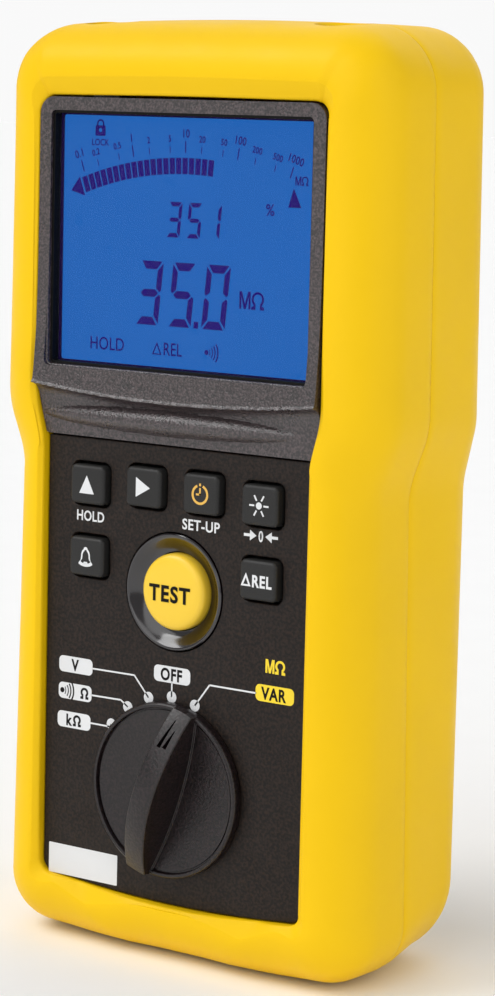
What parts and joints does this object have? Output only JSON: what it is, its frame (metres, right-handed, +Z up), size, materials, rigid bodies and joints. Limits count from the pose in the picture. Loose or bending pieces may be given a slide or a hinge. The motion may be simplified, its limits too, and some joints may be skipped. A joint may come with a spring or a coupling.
{
  "type": "insulation resistance tester",
  "caption": "Hand-held insulation resistance tester: two-shell case with display, soft keys, test button, rotary selector, top sockets, battery door and tilt stand.",
  "frame": {"origin": "under the middle of the case, at the lowest point, with the tester upright", "axes": "+X to the right of the face, +Y from the face towards the back, +Z up the case"},
  "size_m": [0.108, 0.06, 0.2144],
  "materials": {
    "housing_yellow": "satin overmoulded elastomer",
    "frame_grey": "coarse spark-eroded texture",
    "panel_black": "fine grain",
    "rubber_black": "soft matt rubber",
    "gloss_black": "polished",
    "button_yellow": "satin",
    "clear_window": "clear, hard coated",
    "lcd_blue": "backlit liquid crystal glass",
    "guide_white": "diffusing",
    "board_green": "solder mask",
    "socket_red": "satin",
    "steel": "nickel plated",
    "brass": "bright",
    "cell_wrap": "printed film over metal",
    "ferrite": "varnished",
    "relay_white": "moulded"
  },
  "bodies": {
    "housing": {"front_housing": "housing_yellow", "rear_housing": "housing_yellow", "display_bezel": "frame_grey", "front_panel": "panel_black", "fuse_holder": "panel_black", "case_seal": "rubber_black", "keypad_mat": "rubber_black", "lcd_contact_strip": "rubber_black", "test_button_collar": "gloss_black", "socket_negative": "gloss_black", "buzzer": "gloss_black", "reservoir_capacitor": "gloss_black", "display_window": "clear_window", "lcd_glass": "lcd_blue", "backlight_guide": "guide_white", "main_board": "board_green", "socket_positive": "socket_red", "board_screw_1": "steel", "board_screw_2": "steel", "board_screw_3": "steel", "board_screw_4": "steel", "case_screw_1": "steel", "case_screw_2": "steel", "case_screw_3": "steel", "case_screw_4": "steel", "battery_terminal_positive": "steel", "battery_terminal_negative": "steel", "battery_link_1": "steel", "battery_link_2": "steel", "battery_link_3": "steel", "battery_link_4": "steel", "battery_link_5": "steel", "socket_contact_positive": "brass", "socket_contact_negative": "brass", "battery_1": "cell_wrap", "battery_2": "cell_wrap", "battery_3": "cell_wrap", "battery_4": "cell_wrap", "battery_5": "cell_wrap", "battery_6": "cell_wrap", "high_voltage_transformer": "ferrite", "range_relay_1": "relay_white", "range_relay_2": "relay_white", "fuse": "relay_white"},
    "selector": {"selector_knob": "gloss_black", "selector_shaft": "panel_black", "selector_rotor": "panel_black"},
    "test_button": {"test_button": "button_yellow"},
    "key_up": {"key_up": "rubber_black"},
    "key_right": {"key_right": "rubber_black"},
    "key_timer": {"key_timer": "rubber_black"},
    "key_backlight": {"key_backlight": "rubber_black"},
    "key_alarm": {"key_alarm": "rubber_black"},
    "key_relative": {"key_relative": "rubber_black"},
    "tilt_stand": {"tilt_stand": "frame_grey", "stand_hinge_pin": "steel"},
    "battery_door": {"battery_door": "housing_yellow"},
    "door_screw_left": {"door_screw_left": "steel"},
    "door_screw_right": {"door_screw_right": "steel"}
  },
  "joints": [
    {"name": "selector_turn", "type": "hinge", "parent": "housing", "child": "selector", "pos_m": [0, -0.0195, 0.0406], "axis": [0, -1, 0], "range_deg": [0, 72]},
    {"name": "test_press", "type": "slide", "parent": "housing", "child": "test_button", "axis": [0, 1, 0], "range_m": [0, 0.0015], "stiffness_N_per_m": 1200},
    {"name": "key_up_press", "type": "slide", "parent": "housing", "child": "key_up", "axis": [0, 1, 0], "range_m": [0, 0.001], "stiffness_N_per_m": 800},
    {"name": "key_right_press", "type": "slide", "parent": "housing", "child": "key_right", "axis": [0, 1, 0], "range_m": [0, 0.001], "stiffness_N_per_m": 800},
    {"name": "key_timer_press", "type": "slide", "parent": "housing", "child": "key_timer", "axis": [0, 1, 0], "range_m": [0, 0.001], "stiffness_N_per_m": 800},
    {"name": "key_backlight_press", "type": "slide", "parent": "housing", "child": "key_backlight", "axis": [0, 1, 0], "range_m": [0, 0.001], "stiffness_N_per_m": 800},
    {"name": "key_alarm_press", "type": "slide", "parent": "housing", "child": "key_alarm", "axis": [0, 1, 0], "range_m": [0, 0.001], "stiffness_N_per_m": 800},
    {"name": "key_relative_press", "type": "slide", "parent": "housing", "child": "key_relative", "axis": [0, 1, 0], "range_m": [0, 0.001], "stiffness_N_per_m": 800},
    {"name": "stand_fold", "type": "hinge", "parent": "housing", "child": "tilt_stand", "pos_m": [0, 0.0272, 0.0895], "axis": [1, 0, 0], "range_deg": [0, 38]},
    {"name": "door_lift", "type": "slide", "parent": "housing", "child": "battery_door", "axis": [0, 1, 0], "range_m": [0, 0.03]},
    {"name": "door_screw_left_turn", "type": "hinge", "parent": "battery_door", "child": "door_screw_left", "pos_m": [-0.0322, 0.0297, 0.1497], "axis": [0, 1, 0], "range_deg": [0, 90]},
    {"name": "door_screw_right_turn", "type": "hinge", "parent": "battery_door", "child": "door_screw_right", "pos_m": [0.0322, 0.0297, 0.1497], "axis": [0, 1, 0], "range_deg": [0, 90]}
  ]
}
